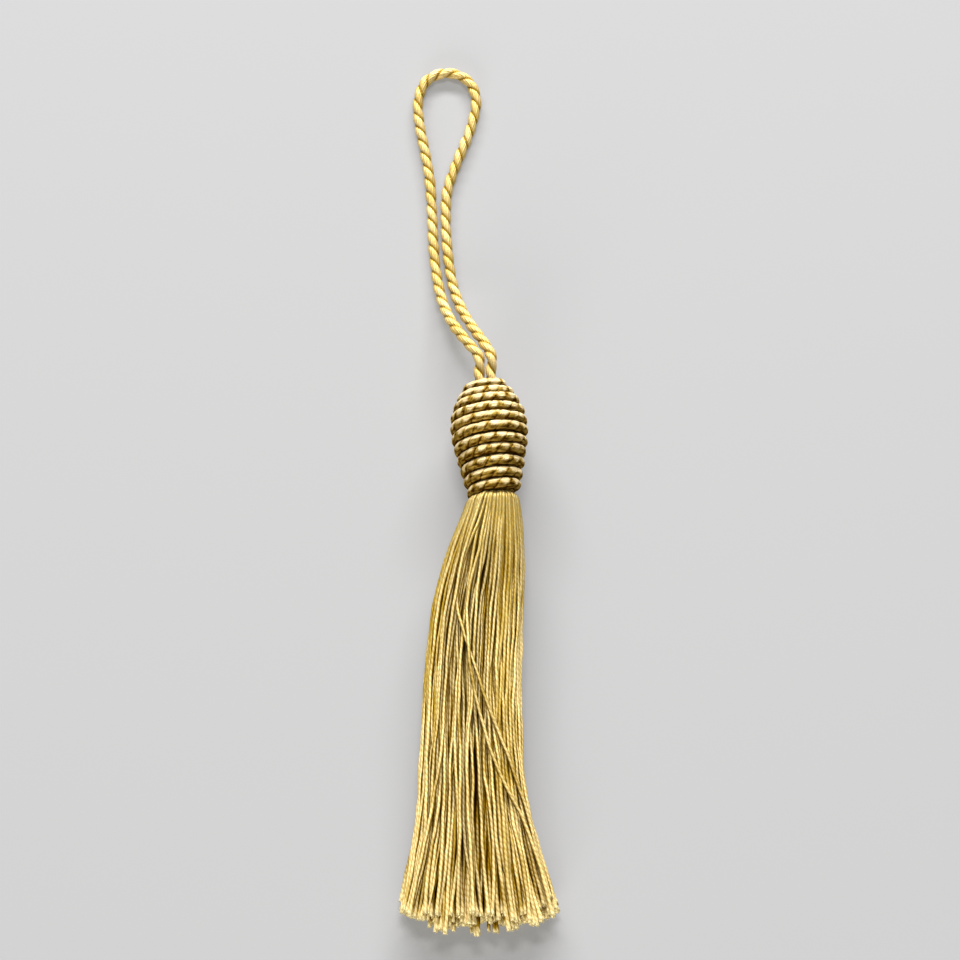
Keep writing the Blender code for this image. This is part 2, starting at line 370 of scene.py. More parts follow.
def silk(name, look):
    finish = Finish(name)
    place = finish.node("SeparateXYZ", None, {
        "Vector": finish.node("UVMap", {"uv_map": "yarn"}).outputs["UV"]
    })
    around, run = finish.value(place, "X"), finish.value(place, "Y")
    tint, groove = finish.mark("tint"), finish.mark("groove")
    rise = 0.0
    # the plies of the threads are drawn by the finish: painted shade in their furrows, and a bump
    if "lay" in look:
        least, spread = silkShade["laySpread"]
        turned = around + run * (finish.mark("phase") * spread + least) * (1 / look["lay"])
        back = (turned * (look["plies"] * math.tau)).sine() * 0.5 + 0.5
        groove = (1 - back) * (1 - back)
        rise = back * look["plyRise"]
    depth, tip = finish.mark("depth"), finish.mark("tip")
    # filaments lie along the yarn, so they slip round against the twist of its plies
    lie = around - run * look["twist"]
    fibre = (lie * (look["fibres"] * math.tau)).sine() * 0.5 + 0.5
    if "streaks" in look:
        spot = finish.node("CombineXYZ", None, {
            "X": lie * look["streaks"], "Y": run * silkShade["streakRun"]
        })
        streak = finish.value(finish.node("TexNoise", None, {
            "Vector": spot.outputs[0], "Scale": 1.0, "Detail": 1.0
        }), "Fac")
        fibre = ((streak - 0.5) * silkShade["streakGain"] + silkShade["streakMiddle"]).clamped()
    wide, long, apart = silkShade["patches"]
    spot = finish.node("CombineXYZ", None, {"X": lie * wide, "Y": run * long, "Z": tint * apart})
    cloudy = finish.value(finish.node("TexNoise", None, {
        "Vector": spot.outputs[0], "Scale": 1.0, "Detail": 2.0
    }), "Fac")
    names = ("gold", "pale", "amber", "paintedShadeBrown", "cream")
    gold, pale, amber, paintedShadeBrown, cream = ((*look[key], 1) for key in names)
    body = finish.mix((tint + (cloudy - 0.5) * silkShade["mottle"]).clamped(), gold, pale)
    # painted highlight on the cut ends
    body = finish.mix(tip * silkShade["tipCream"], body, cream)
    # painted shade: the upper threads are multiplied darker
    body = finish.mix(finish.mark("paintedDim"), body, silkShade["paintedDimColour"], "MULTIPLY")
    lined = finish.mix((1 - fibre) * look["line"], body, amber)
    # painted shade: the furrows and the depth mark darken the colour to amber, then to a dark brown
    dark = groove * look["furrow"] + depth * ((0.5 - fibre) * look["grain"] + 1)
    warmed = finish.mix((dark * (1 / silkShade["amberBy"])).clamped(), lined, amber)
    deepest = (dark - silkShade["deepFrom"]) * (1 / (1 - silkShade["deepFrom"]))
    paintedShade = finish.mix(deepest.clamped(), warmed, paintedShadeBrown)
    rough = (cloudy - 0.5) * silkShade["mottledGloss"] + look["roughness"]
    bump = finish.node("Bump", None, {
        "Height": (fibre + cloudy) * look["ridge"] + rise, "Strength": 1.0, "Distance": mm
    })
    # the same painted shade mask also makes the dark rougher and more metallic
    finish.feed(finish.shader, {
        "Base Color": paintedShade,
        "Roughness": rough + depth * look["dulling"],
        "Normal": bump.outputs[0],
        "Metallic": depth * look["deepMetal"] + look["metallic"],
        "Specular IOR Level": look["specular"],
        "Specular Tint": (*look["sheen"], 1),
    })
    return finish.material


threadSilk = silk("threadSilk", silkLooks["threads"])
cordSilk = silk("cordSilk", silkLooks["cord"])
woundSilk = silk("woundSilk", silkLooks["wound"])


head = {
    "crown": (1.0, 39.82, 5.986),
    "lean": math.radians(4.0),      # crown end turned to -X
    "rise": math.radians(4.0),      # crown end tipped up
    "profile": (
        # from crown, radius over the turns
        (0.0, 2.4), (0.8, 3.1), (2.0, 3.95), (3.4, 4.75), (5.0, 5.35), (6.8, 5.65),
        (8.6, 5.6), (10.4, 5.35), (12.2, 4.95), (14.0, 4.55), (15.8, 4.15), (18.0, 3.75),
    ),
    "spacing": 0.05,
    "pitch": 1.68,
    "firstTurn": 0.75,              # along the profile, and so is the margin after the last
    "lastMargin": 0.35,
    "slack": 0.075,                 # how far the turns stray from their even places
    "slackTurns": 2.6,
    "tuck": 0.35,                   # turns over which each end slips under
    "tuckFirst": (1.1, 1.0),        # how far it moves then, along the head and inwards
    "tuckLast": (0.5, 0.9),
    "endAngle": -0.45 * math.pi,    # where the last turn ends, under the head
    "stations": 1381,
    "strips": 12,
    "turnWidth": 0.99,              # of the loop's own cord
    # drawn tight, the cord is rounder
    "drawn": {
        "lay": 3.2, "furrowDepth": 0.09, "furrowWidth": 0.2, "flat": 0.02,
        "uneven": 0.04, "unevenRun": 6.0,
    },
    "litLean": 0.6,                 # painted highlight: the paler band of each turn looks this far towards the crown
    "litBand": (0.84, 0.62),        # cosines from there where it ends and the band of painted shade begins
    "litJag": (0.18, 0.16),         # how far its edge follows the plies, and how far it strays
    "strayRun": 2.6,
    # how much paler the painted highlight band is, and how dark the band of painted shade
    "litTint": 0.5,
    "oliveShade": 0.7,
    "nick": 0.3,                    # the furrows are faintest here, by their usual depth
    "nickRun": 4.0,
    "furrows": (0.5, 0.3),          # how dark their painted shade is, and how much more in the band of painted shade
    "shade": (0.5, 0.05),           # cosines from straight out where painted shade darkens the turns where they meet
    "turnShade": 0.25,
}
headAlong = np.array([
    -math.sin(head["lean"]) * math.cos(head["rise"]),
    math.cos(head["lean"]) * math.cos(head["rise"]),
    math.sin(head["rise"]),
])
headSide = np.array([math.cos(head["lean"]), math.sin(head["lean"]), 0.0])
headUp = np.cross(headSide, headAlong)
crown = np.array(head["crown"])
neck = crown - headAlong * head["profile"][-1][0]

cordYarn = {
    "plies": 2, "hand": -1, "lay": 4.4, "radius": 0.82, "sides": 20,
    "furrowDepth": 0.16, "furrowWidth": 0.3, "flat": 0.15, "step": 0.21,
    "uneven": 0.025, "unevenRun": 9.0,
    "tint": 0.45, "tintSwing": 0.15, "tintRun": 14.0,
}
loop = {
    "diameter": 1.6,
    "legSpacing": 1.7,
    "straightExit": 1.1,
    "seatDepth": 0.8,               # of the ends below the crown
    "strips": 6,
    "route": [
        (0.0, 43.4, 6.35), (-2.0, 46.4, 5.5), (-4.0, 50.0, 3.7), (-5.4, 54.0, 1.9),
        (-6.25, 58.4, 1.0), (-6.75, 63.2, 0.85), (-7.0, 68.4, 0.85), (-7.35, 73.8, 0.85),
        (-8.1, 78.8, 0.85), (-8.95, 83.4, 0.85), (-9.2, 87.5, 0.85), (-7.9, 90.9, 0.85),
        (-4.8, 92.2, 0.85), (-1.7, 90.9, 0.85), (-0.4, 87.5, 0.85), (-1.3, 82.6, 0.85),
        (-3.1, 77.7, 0.85), (-4.7, 72.6, 0.85), (-4.95, 67.6, 0.85), (-4.65, 62.4, 0.85),
        (-3.95, 57.4, 1.05), (-2.7, 53.0, 2.0), (-1.0, 49.2, 3.8), (0.7, 46.0, 5.5),
        (1.9, 43.3, 6.35),
    ],
    "seed": 3,
}


def cordTint(rng, run):
    return cordYarn["tint"] + cordYarn["tintSwing"] * unevenness(rng, (), run, cordYarn["tintRun"])


def makeLoop():
    rng = np.random.default_rng(loop["seed"])
    half = 0.5 * loop["legSpacing"] * headSide
    seat = crown - loop["seatDepth"] * headAlong
    mouth = crown + loop["straightExit"] * headAlong
    route = [seat - half, mouth - half, *loop["route"], mouth + half, seat + half]
    path = evenLine(route, cordYarn["step"])
    run = runAlong(path)
    scale = 1 + cordYarn["uneven"] * unevenness(rng, (), run, cordYarn["unevenRun"])
    rings = yarnRings(path, straightUp, cordYarn, 0.0, scale)
    tint = cordTint(rng, run)[None, :, None]
    # the groove mark paints shade into the furrow between the plies
    marks = {"tint": tint, "groove": furrowMark(cordYarn), "depth": 0.0, "tip": 0.0}
    piece = tubeMesh("loopCord", rings[None], marks, cordSilk, loop["strips"])
    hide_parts("hanging_loop")


makeLoop()
print("loop twisted")


def headPoint(fromCrown, radius, angle):
    outward = np.cos(angle)[..., None] * headSide + np.sin(angle)[..., None] * headUp
    return crown - fromCrown[..., None] * headAlong + radius[..., None] * outward, outward


def makeWinding():
    rng = np.random.default_rng(loop["seed"] + 1)
    outline = evenLine(head["profile"], head["spacing"])
    length = runAlong(outline)
    slope = unit(np.gradient(outline, axis=0))
    inward = np.stack([slope[:, 1], -slope[:, 0]], 1)
    middle = outline + 0.5 * loop["diameter"] * inward
    first, last = head["firstTurn"], length[-1] - head["lastMargin"]
    turns = (last - first) / head["pitch"]
    tuck = head["tuck"]
    turn = np.linspace(-tuck, turns + tuck, head["stations"])
    place = first + turn * head["pitch"]
    place = place + head["slack"] * unevenness(rng, (), turn, head["slackTurns"])
    place = np.clip(place, first - 0.1, last + 0.1)
    # the ends tuck in underneath, where the head lies on the surface
    tucked = (easeIn(-turn, 0.0, tuck), easeIn(turn, turns, turns + tuck))
    fromCrown = np.interp(place, length, middle[:, 0])
    radius = np.interp(place, length, middle[:, 1])
    for share, (down, inwards) in zip(tucked, (head["tuckFirst"], head["tuckLast"])):
        fromCrown = fromCrown + down * share
        radius = radius - inwards * share
    path, outward = headPoint(fromCrown, radius, math.tau * (turn - turns) + head["endAngle"])
    path[:, 2] = np.maximum(path[:, 2], 0.5 * loop["diameter"])
    run = runAlong(path)
    drawn = {**cordYarn, **head["drawn"]}
    scale = 1 + drawn["uneven"] * unevenness(rng, (), run, drawn["unevenRun"])
    rings = yarnRings(path, outward, drawn, 0.0, scale * head["turnWidth"])
    tint = cordTint(rng, run)[None, :, None]
    # painted light: each turn gets a paler band facing the crown, and painted shade below it, in
    # its furrows and where the turns meet
    lit = math.cos(head["litLean"]) * outward + math.sin(head["litLean"]) * headAlong
    byPly, byChance = head["litJag"]
    jagged = byPly * np.cos(math.tau * drawn["plies"] * run / drawn["lay"])
    jagged = jagged + byChance * unevenness(rng, (), run, head["strayRun"])
    shadedBand = sideMark(rings, path, lit, *head["litBand"], jagged[:, None])
    nick = easeIn(unevenness(rng, (), run, head["nickRun"]), -0.8, 0.6)[:, None]
    nick = head["nick"] + (1 - head["nick"]) * nick
    dark, darker = head["furrows"]
    between = sideMark(rings, path, outward, *head["shade"])
    marks = {
        "tint": tint + head["litTint"] * (1 - shadedBand),
        "groove": furrowMark(drawn) * nick * (dark + darker * shadedBand),
        "depth": head["oliveShade"] * shadedBand + head["turnShade"] * between,
        "tip": 0.0,
    }
    piece = tubeMesh("headCord", rings[None], marks, woundSilk, head["strips"])
    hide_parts("head_winding")
    print("head wound with", round(float(run[-1])), "mm of cord,", round(float(turns), 1), "turns")


headCore = {
    # the gathered threads under the turns
    "profile": (
        # from crown, radius
        (1.6, 0.05), (1.5, 1.2), (1.9, 2.4), (3.2, 3.6), (5.0, 4.45), (8.0, 4.75), (11.8, 4.15),
        (15.5, 3.3), (17.4, 2.6), (17.5, 0.05),
    ),
    "spacing": 0.3,
    "sides": 48,
    "ridges": 16,
    "ridgeFall": 0.15,              # how far the dips between the ridges lie under the crown
    "ridgeDepth": 0.05,             # and inwards, by the radius
    "tint": 0.4,
    "shade": (0.3, 0.5),            # painted shade: how dark it is, and how much darker in the dips
}


def makeCore():
    rows = evenLine(headCore["profile"], headCore["spacing"])
    angle = math.tau * np.arange(headCore["sides"]) / headCore["sides"]
    dip = 0.5 - 0.5 * np.cos(headCore["ridges"] * angle)
    fall, depth = headCore["ridgeFall"] * dip, headCore["ridgeDepth"] * dip
    rings = np.stack([
        headPoint(fromCrown + fall, radius * (1 - depth), angle)[0] for fromCrown, radius in rows
    ])
    # painted shade on the core under the turns, darker in the dips
    dark, darker = headCore["shade"]
    marks = {"tint": headCore["tint"], "groove": 0.0, "depth": dark + darker * dip, "tip": 0.0}
    piece = tubeMesh("headCore", rings[None], marks, threadSilk)
    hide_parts("head_winding")


makeWinding()
makeCore()


skirt = {
    "threads": 400,
    "locks": 14,
    "strands": 165,                 # threads cling together by twos and threes
    "sections": (
        # from head, centre x, half width, underside, top
        (0.0, 2.25, 3.45, 1.25, 8.15), (1.8, 2.1, 4.05, 1.0, 8.45), (4.2, 1.75, 4.9, 0.6, 8.7),
        (7.0, 1.2, 5.6, 0.2, 8.7), (10.0, 0.65, 6.15, 0.0, 8.4), (14.0, 0.1, 6.6, 0.0, 8.0),
        (20.0, -0.45, 6.85, 0.0, 7.6), (27.0, -0.85, 7.0, 0.0, 7.2), (35.0, -1.05, 7.15, 0.0, 6.9),
        (43.0, -0.9, 7.5, 0.0, 6.6), (49.0, -0.6, 8.1, 0.0, 6.3), (53.0, -0.4, 9.0, 0.0, 6.0),
        (56.5, -0.25, 9.95, 0.0, 5.7), (59.5, -0.1, 10.75, 0.0, 5.3), (61.8, 0.0, 11.3, 0.0, 4.9),
    ),
    "square": (2.0, 0.6),           # how square it is at the neck, and how much more lower down
    "flatUnder": 1.22,
    "start": -2.0,                  # the threads begin inside the head
    "end": 61.6,
    "drawnIn": (0.62, -1.1, 0.5),   # share of their width there, and where they let go of it
    "stations": 46,
    "threadWidth": 0.46,
    "neckWidth": 0.33,
    "widening": (0.0, 9.0),         # where they grow from one to the other
    "neckPress": 1.45,              # how much the threads flatten into each other at the neck
    "unpressed": (2.0, 12.0),
    "outer": 0.12,                  # how much thicker the threads on the outside are
    "outside": (0.72, 0.94),        # by the bundle's radius, where those begin
    "girth": 0.92,
    "uneven": 0.28,                 # how much thicker or thinner than even a thread is
    "lumps": (0.04, 7.0),           # along each thread, and how long they are
    "crimp": (0.05, 11.0),
    "wander": (0.055, 0.7),         # of the strands, and how many times along them
    "ownWander": (0.0275, 0.9),     # of the threads
    "centres": (0.86, 0.97),        # how far out the middles of the locks and strands lie
    "gather": 0.32,                 # how far the threads of a strand draw together
    "gathered": (0.1, 0.7),         # by the length, where they do
    "loosening": 0.12,              # how much further apart they keep at the cut
    "loosened": (30.0, 58.0),
    "stagger": (0.7, 0.3),          # of the strands at the cut, and of their threads
    "longest": (-1.8, 1.5),
    "crowning": (1.5, 11.0),        # how much shorter they are this far from the middle
    "slant": (0.6, 2.4),            # and longer for each millimetre over this height
    "spread": 0.16,                 # how much they thicken towards the cut
    "fluff": 0.2,                   # and at the cut itself
    "ragged": 0.14,                 # of each thread's own end
    "upright": 8.0,                 # where they stop standing square to the head
    "step": 0.55,
    "innerStep": 2.0,
    "innerDepth": 0.85,             # threads never nearer the outside are made plain
    "seed": 11,
}
settling = {
    # how the threads are pushed apart where they overlap
    "rounds": 160,
    "recount": 16,                  # rounds between looks for new neighbours
    "near": 1.7,                    # by the threads' width
    "push": 0.42,
    "home": 0.03,
    "stiffness": 0.18,
}
threadShade = {
    "sides": (0.85, 0.1),           # cosines from the outside where the painted shade on the flanks begins and is full
    "lift": 0.6,                    # the backs of the threads at the edges, kept free of painted shade, look upward
    "pinch": (0.9, 0.35, 24.0),     # how dark the painted shade on the sides is, how unevenly, and over how far
    "faint": (0.92, 0.25),          # how much less at the neck, and where the threads open out
    "near": 0.36,                   # threads this close across lie over or under each other
    "risen": 0.7,                   # how much of a low place counts as the outside
    "buried": (0.2, 1.1),           # depths between which a thread is darkened with painted shade
    "buriedDark": 1.05,
    "hiddenDark": 0.16,
    "hidden": (0.75, 1.5),          # of the swings, those this far out are darkened with painted shadow, as if hidden
    "hiddenRun": 34.0,
    "freed": (4.0, 20.0),           # where both kinds of painted shade set in
    "lockDark": 0.06,
    "lockTint": 0.15,
    "lockRun": 45.0,
    "ownTint": 0.24,
    "tintRun": 13.0,
    "paler": (0.5, 0.2, 0.3),       # tint at the neck, then what is gained down to the cut
    "evenNeck": 0.2,                # how much of the threads' own tint shows there
    "paintedDim": 0.85,                    # painted shade: the upper threads are darkened, as they face away
    "dimEnd": 26.0,
    "tint": (0.65, 0.28),
    "strandTint": 0.2,
}
threadYarn = {
    "plies": 1, "hand": 0, "lay": 1.0, "radius": 0.235, "sides": 10,
    "furrowDepth": 0.0, "furrowWidth": 1.0, "flat": 0.0,
}
innerYarn = {**threadYarn, "sides": 5}
filamentYarn = {**threadYarn, "hand": -1, "lay": 50.0, "radius": 1.0, "sides": 3}


def sectionAt(places):
    # centre, half width, middle height, half height and squareness at each distance
    columns = (readTable(skirt["sections"], column, places) for column in (1, 2, 3, 4))
    centre, half, under, top = columns
    neckSquare, squarer = skirt["square"]
    square = neckSquare + squarer * np.clip(3.0 * places / skirt["end"], 0.0, 1.0)
    return centre, half, 0.5 * (under + top), 0.5 * (top - under), square


def sectionPoint(disk, places):
    # from a round bundle of radius 1 to the skirt's own section at each distance
    radius = np.linalg.norm(disk, axis=-1)
    angle = np.arctan2(disk[..., 1], disk[..., 0])
    centre, half, middle, tall, square = sectionAt(places)
    across = np.sign(np.cos(angle)) * np.abs(np.cos(angle)) ** (2 / square)
    up = np.sign(np.sin(angle)) * np.abs(np.sin(angle)) ** (2 / square)
    up = np.maximum(np.where(up < 0, up * skirt["flatUnder"], up), -1.0)
    inset = 0.5 * skirt["threadWidth"]
    return centre + (half - inset) * radius * across, middle + (tall - inset) * radius * up


def depthInside(spot, places, below=1.0):
    # millimetres under the outside of the skirt; with below at 0 its underside counts as deep
    centre, half, middle, tall, square = sectionAt(places)
    across = np.abs(spot[..., 0] - centre) / half
    up = (spot[..., 1] - middle) / tall
    up = np.where(up < 0, -below * up, up)
    share = (across**square + up**square) ** (1 / square)
    return np.maximum(1 - share, 0.0) * np.minimum(half, tall)


def smoothed(values, rounds):
    # along the last axis, with both ends kept
    for _ in range(rounds):
        around = values[..., :-2] + values[..., 2:]
        values[..., 1:-1] = 0.5 * values[..., 1:-1] + 0.25 * around
    return values


def depthUnder(spot, places):
    # the same, but less where all the threads close by lie low
    depth = depthInside(spot, places)
    upper = spot[..., 1] > sectionAt(places)[2]
    near = np.abs(spot[:, None, :, 0] - spot[None, :, :, 0]) < threadShade["near"]
    near &= upper[:, None] == upper[None]
    least = smoothed(np.where(near, depth[None], 9.0).min(1), 3)
    return depth - threadShade["risen"] * np.maximum(least - threadShade["buried"][0], 0.0)


def sway(rng, rows, share, amount, slowest):
    # smooth random wander along the length, none at the neck
    wave = np.arange(1, 5)[None, :, None, None]
    phase = rng.uniform(0, math.tau, (rows, 4, 1, 2))
    size = rng.normal(0, 1, (rows, 4, 1, 2)) / wave
    swing = np.sin(slowest * wave * math.tau * share[None, None, :, None] + phase)
    return amount * (size * swing).sum(1) * easeIn(share, 0.04, 0.5)[None, :, None]


def sunflower(number, reach, turn):
    # points spread evenly over a disk
    seed = np.arange(number)
    angle = math.pi * (3 - math.sqrt(5)) * seed + turn
    out = reach * np.sqrt((seed + 0.5) / number)
    return np.stack([out * np.cos(angle), out * np.sin(angle)], 1)


def layThreads(rng):
    # gathers the threads in locks, then pushes them apart, station by station
    count = skirt["threads"]
    places = np.linspace(skirt["start"], skirt["end"], skirt["stations"])
    share = np.clip(places / skirt["end"], 0.0, 1.0)
    disk = sunflower(count, 1.0, 0.0)
    lockReach, strandReach = skirt["centres"]
    lockDisk = sunflower(skirt["locks"], lockReach, 1.0)
    strandDisk = sunflower(skirt["strands"], strandReach, 2.0)
    lock = np.linalg.norm(disk[:, None] - lockDisk[None], axis=2).argmin(1)
    strand = np.linalg.norm(disk[:, None] - strandDisk[None], axis=2).argmin(1)
    swing = sway(rng, skirt["strands"], share, *skirt["wander"])
    own = sway(rng, count, share, *skirt["ownWander"])
    pull = skirt["gather"] * easeIn(share, *skirt["gathered"])
    towards = (strandDisk[strand] - disk)[:, None]
    disk = disk[:, None] + pull[:, None] * towards + swing[strand] + own
    disk = disk / np.maximum(np.linalg.norm(disk, axis=2, keepdims=True), 1.0)

    home = np.stack(sectionPoint(disk, places[None]), 2).transpose(1, 0, 2)
    spot = home.copy()                                  # stations x threads x (x, z)
    width = skirt["threadWidth"] - skirt["neckWidth"]
    width = skirt["neckWidth"] + width * easeIn(places, *skirt["widening"])
    width = width * (1 + skirt["loosening"] * easeIn(places, *skirt["loosened"]))
    outer = easeIn(np.linalg.norm(disk[:, 0], axis=1), *skirt["outside"])
    girth = skirt["girth"] + skirt["outer"] * outer + skirt["uneven"] * rng.uniform(-1, 1, count)
    for turn in range(settling["rounds"]):
        if turn % settling["recount"] == 0:
            gap = np.linalg.norm(spot[:, :, None] - spot[:, None, :], axis=3)
            close = gap < settling["near"] * width[:, None, None]
            row, one, other = np.nonzero(np.triu(close, 1))
        apart = spot[row, one] - spot[row, other]
        distance = np.maximum(np.linalg.norm(apart, axis=1, keepdims=True), 1e-4)
        wanted = width[row, None] * 0.5 * (girth[one] + girth[other])[:, None]
        push = settling["push"] * np.maximum(wanted - distance, 0.0) * apart / distance
        move = np.zeros_like(spot)
        np.add.at(move, (row, one), push)
        np.add.at(move, (row, other), -push)
        spot = spot + move + settling["home"] * (home - spot)
        spot[1:-1] += settling["stiffness"] * (spot[:-2] - 2 * spot[1:-1] + spot[2:])
        spot[..., 1] = np.maximum(spot[..., 1], 0.5 * width[:, None])
    return places, spot.transpose(1, 0, 2), lock, strand, girth


def bundlePaths(spot, places, reach):
    # from distances and sections to points in the frame; the first few millimetres stand
    # square to the tilted head
    stretch = (reach - skirt["end"])[:, None] * easeIn(places, 30.0, skirt["end"])
    tilt = np.clip(1.0 - places / skirt["upright"], 0.0, 1.3)
    slip = headAlong[0] * (spot[..., 0] - neck[0]) + headAlong[2] * (spot[..., 1] - neck[2])
    y = neck[1] - places - stretch - tilt * slip / headAlong[1]
    return np.stack([spot[..., 0], y, spot[..., 1]], 2)


def threadMarks(threads, yarn, along, paths, rings, depth, rng):
    # painted shade: the sides of each thread are darkened, and so is what lies deeper
    shade = threadShade
    tubes = (len(paths), 1)
    centre, half, middle, tall, _ = sectionAt(along)
    lift = np.maximum(paths[..., 2] - middle, 0.0) + shade["lift"] * tall
    out = [(paths[..., 0] - centre) / half**2, np.zeros(depth.shape), lift / tall**2]
    inside = (1 - easeIn(along, skirt["end"] - 2.2, skirt["end"] - 0.6))[None, :]
    pinch, swing, pinchRun = shade["pinch"]
    pinch = np.clip(pinch + swing * unevenness(rng, tubes, along[None], pinchRun), 0.5, 1.0)
    atNeck, atCut = shade["faint"]
    firm = 1 - atNeck * (1 - easeIn(along, 3.0, 18.0)) - atCut * easeIn(along, 28.0, 44.0)
    facing = sideMark(rings, paths, unit(np.stack(out, 2)), *shade["sides"])
    sides = (inside * pinch * firm)[..., None] * facing
    # painted shadow: here and there a stretch of thread is darkened as if it lay lower, in the
    # shade of its neighbours, and each lock is darkened here and there along its length
    hidden = unevenness(rng, tubes, along[None], shade["hiddenRun"])
    hidden = easeIn(hidden, *shade["hidden"])
    freed = easeIn(along, *shade["freed"])
    lockTone = unevenness(rng, (), along, shade["lockRun"]) * freed
    paintedShade = shade["buriedDark"] * easeIn(depth, *shade["buried"])
    paintedShade = paintedShade * (0.4 + 0.6 * easeIn(along, 2.0, 12.0))
    paintedShade = paintedShade + shade["hiddenDark"] * hidden * freed
    paintedShade = paintedShade + shade["lockDark"] * np.clip(-lockTone, 0, 1)
    # the tint varies least at the neck, and the threads are paler towards the cut
    own = shade["ownTint"] * unevenness(rng, tubes, along[None], shade["tintRun"])
    own = threads["tint"][:, None] + own + shade["lockTint"] * lockTone - 0.55
    own = own * (shade["evenNeck"] + (1 - shade["evenNeck"]) * easeIn(along, 2.0, 15.0))
    base, above, below = shade["paler"]
    base = base + above * easeIn(along, 6.0, 26.0) + below * easeIn(along, 28.0, 46.0)
    return {
        "tint": np.clip(base + own, 0, 1)[..., None],
        "groove": furrowMark(yarn),
        # painted shade on the flanks and in depth
        "depth": np.clip((paintedShade * inside)[..., None] + sides, 0, 1),
        # painted highlight on the cut ends
        "tip": easeIn(along, skirt["end"] - 1.1, skirt["end"] - 0.2)[None, :, None],
        "phase": threads["turn"][:, None, None] / math.tau,
        # painted shade on the upper threads
        "paintedDim": shade["paintedDim"] * (1 - easeIn(along, 0.0, shade["dimEnd"]))[None, :, None],
    }


def bundlePiece(name, threads, yarn, step, rng):
    # threads: places, depth, girth, tint and turn of each
    count = round((skirt["end"] - skirt["start"]) / step)
    share = np.linspace(0.0, 1.0, count)
    along = skirt["start"] + (skirt["end"] - skirt["start"]) * share
    paths = curveThrough(threads["coarse"], share)
    depth = curveThrough(threads["depth"][..., None], share)[..., 0]
    turn = threads["turn"]
    tubes = (len(paths), 1)
    crimp, crimpRun = skirt["crimp"]
    for axis in (0, 2):
        bend = crimp * easeIn(along, 1.0, 8.0) * unevenness(rng, tubes, along[None], crimpRun)
        paths[..., axis] += bend
    # the winding holds them together
    least, start, end = skirt["drawnIn"]
    axisPoint = neck + ((paths - neck) @ headAlong)[..., None] * headAlong
    hold = least + (1 - least) * easeIn(along, start, end)[None, :, None]
    paths = axisPoint + hold * (paths - axisPoint)
    neckShare = skirt["neckWidth"] * skirt["neckPress"] / skirt["threadWidth"]
    fluff = skirt["fluff"] * easeIn(along, skirt["end"] - 0.9, skirt["end"] - 0.2)
    fluff = fluff + skirt["spread"] * easeIn(along, 38.0, skirt["end"] - 4.0)
    scale = (neckShare + (1 - neckShare) * easeIn(along, *skirt["unpressed"])) * (1 + fluff)
    lump, lumpRun = skirt["lumps"]
    lumps = 1 + lump * unevenness(rng, tubes, along[None], lumpRun)
    scale = threads["girth"][:, None] * scale * lumps
    # they rest on the surface and don't sink into it
    lowest = 1.05 * yarn["radius"] * scale
    paths[..., 2] = np.where(along > 9.0, np.maximum(paths[..., 2], lowest), paths[..., 2])
    rings = yarnRings(paths, straightUp, yarn, turn[:, None], scale)
    cut = unit(paths[:, -1] - paths[:, -3])[:, None, None, :]
    ragged = rng.uniform(-skirt["ragged"], skirt["ragged"], (len(paths), 1, yarn["sides"], 1))
    rings[:, -1:] += cut * ragged
    marks = threadMarks(threads, yarn, along, paths, rings, depth, rng)
    piece = tubeMesh(name, rings, marks, threadSilk)
    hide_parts("skirt")


cutFilaments = {
    "number": 6,                    # at the end of each thread
    "stations": 4,
    "root": (0.05, 0.24),           # how far from the thread's middle they start
    "back": 0.35,                   # and how far before its end
    "reach": (0.4, 0.6),
    "splay": (0.0, 0.25),
    "width": 0.08,
}


def cutEnds(aim, tint, rng):
    # the fine filaments that open out where each thread is cut
    number = cutFilaments["number"]
    count = len(tint) * number
    base = np.repeat(aim[:, 0], number, axis=0)
    forward = np.repeat(aim[:, 1], number, axis=0)
    side = unit(np.cross(forward, straightUp))
    up = np.cross(side, forward)
    angle = rng.uniform(0, math.tau, (count, 1))
    out = np.cos(angle) * side + np.sin(angle) * up
    start = base - cutFilaments["back"] * forward
    start = start + out * rng.uniform(*cutFilaments["root"], (count, 1))
    reach = rng.uniform(*cutFilaments["reach"], (count, 1))
    splay = rng.uniform(*cutFilaments["splay"], (count, 1))
    share = np.linspace(0.0, 1.0, cutFilaments["stations"])[None, :, None]
    bend = forward[:, None] * share + (out * splay)[:, None] * share**1.6
    paths = start[:, None] + reach[:, None] * bend
    paths[..., 2] = np.maximum(paths[..., 2], 0.05)
    width = cutFilaments["width"] * (1 - 0.5 * share[..., 0]) * np.ones((count, 1))
    rings = yarnRings(paths, np.array([0.3, 0.0, 1.0]), filamentYarn, 0.0, width)
    tint = np.repeat(tint, number)[:, None, None]
    # the filaments carry the painted highlight of the cut ends
    marks = {"tint": tint, "groove": 0.0, "depth": 0.0, "tip": 1.0}
    piece = tubeMesh("cutEnds", rings, marks, threadSilk)
    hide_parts("skirt")


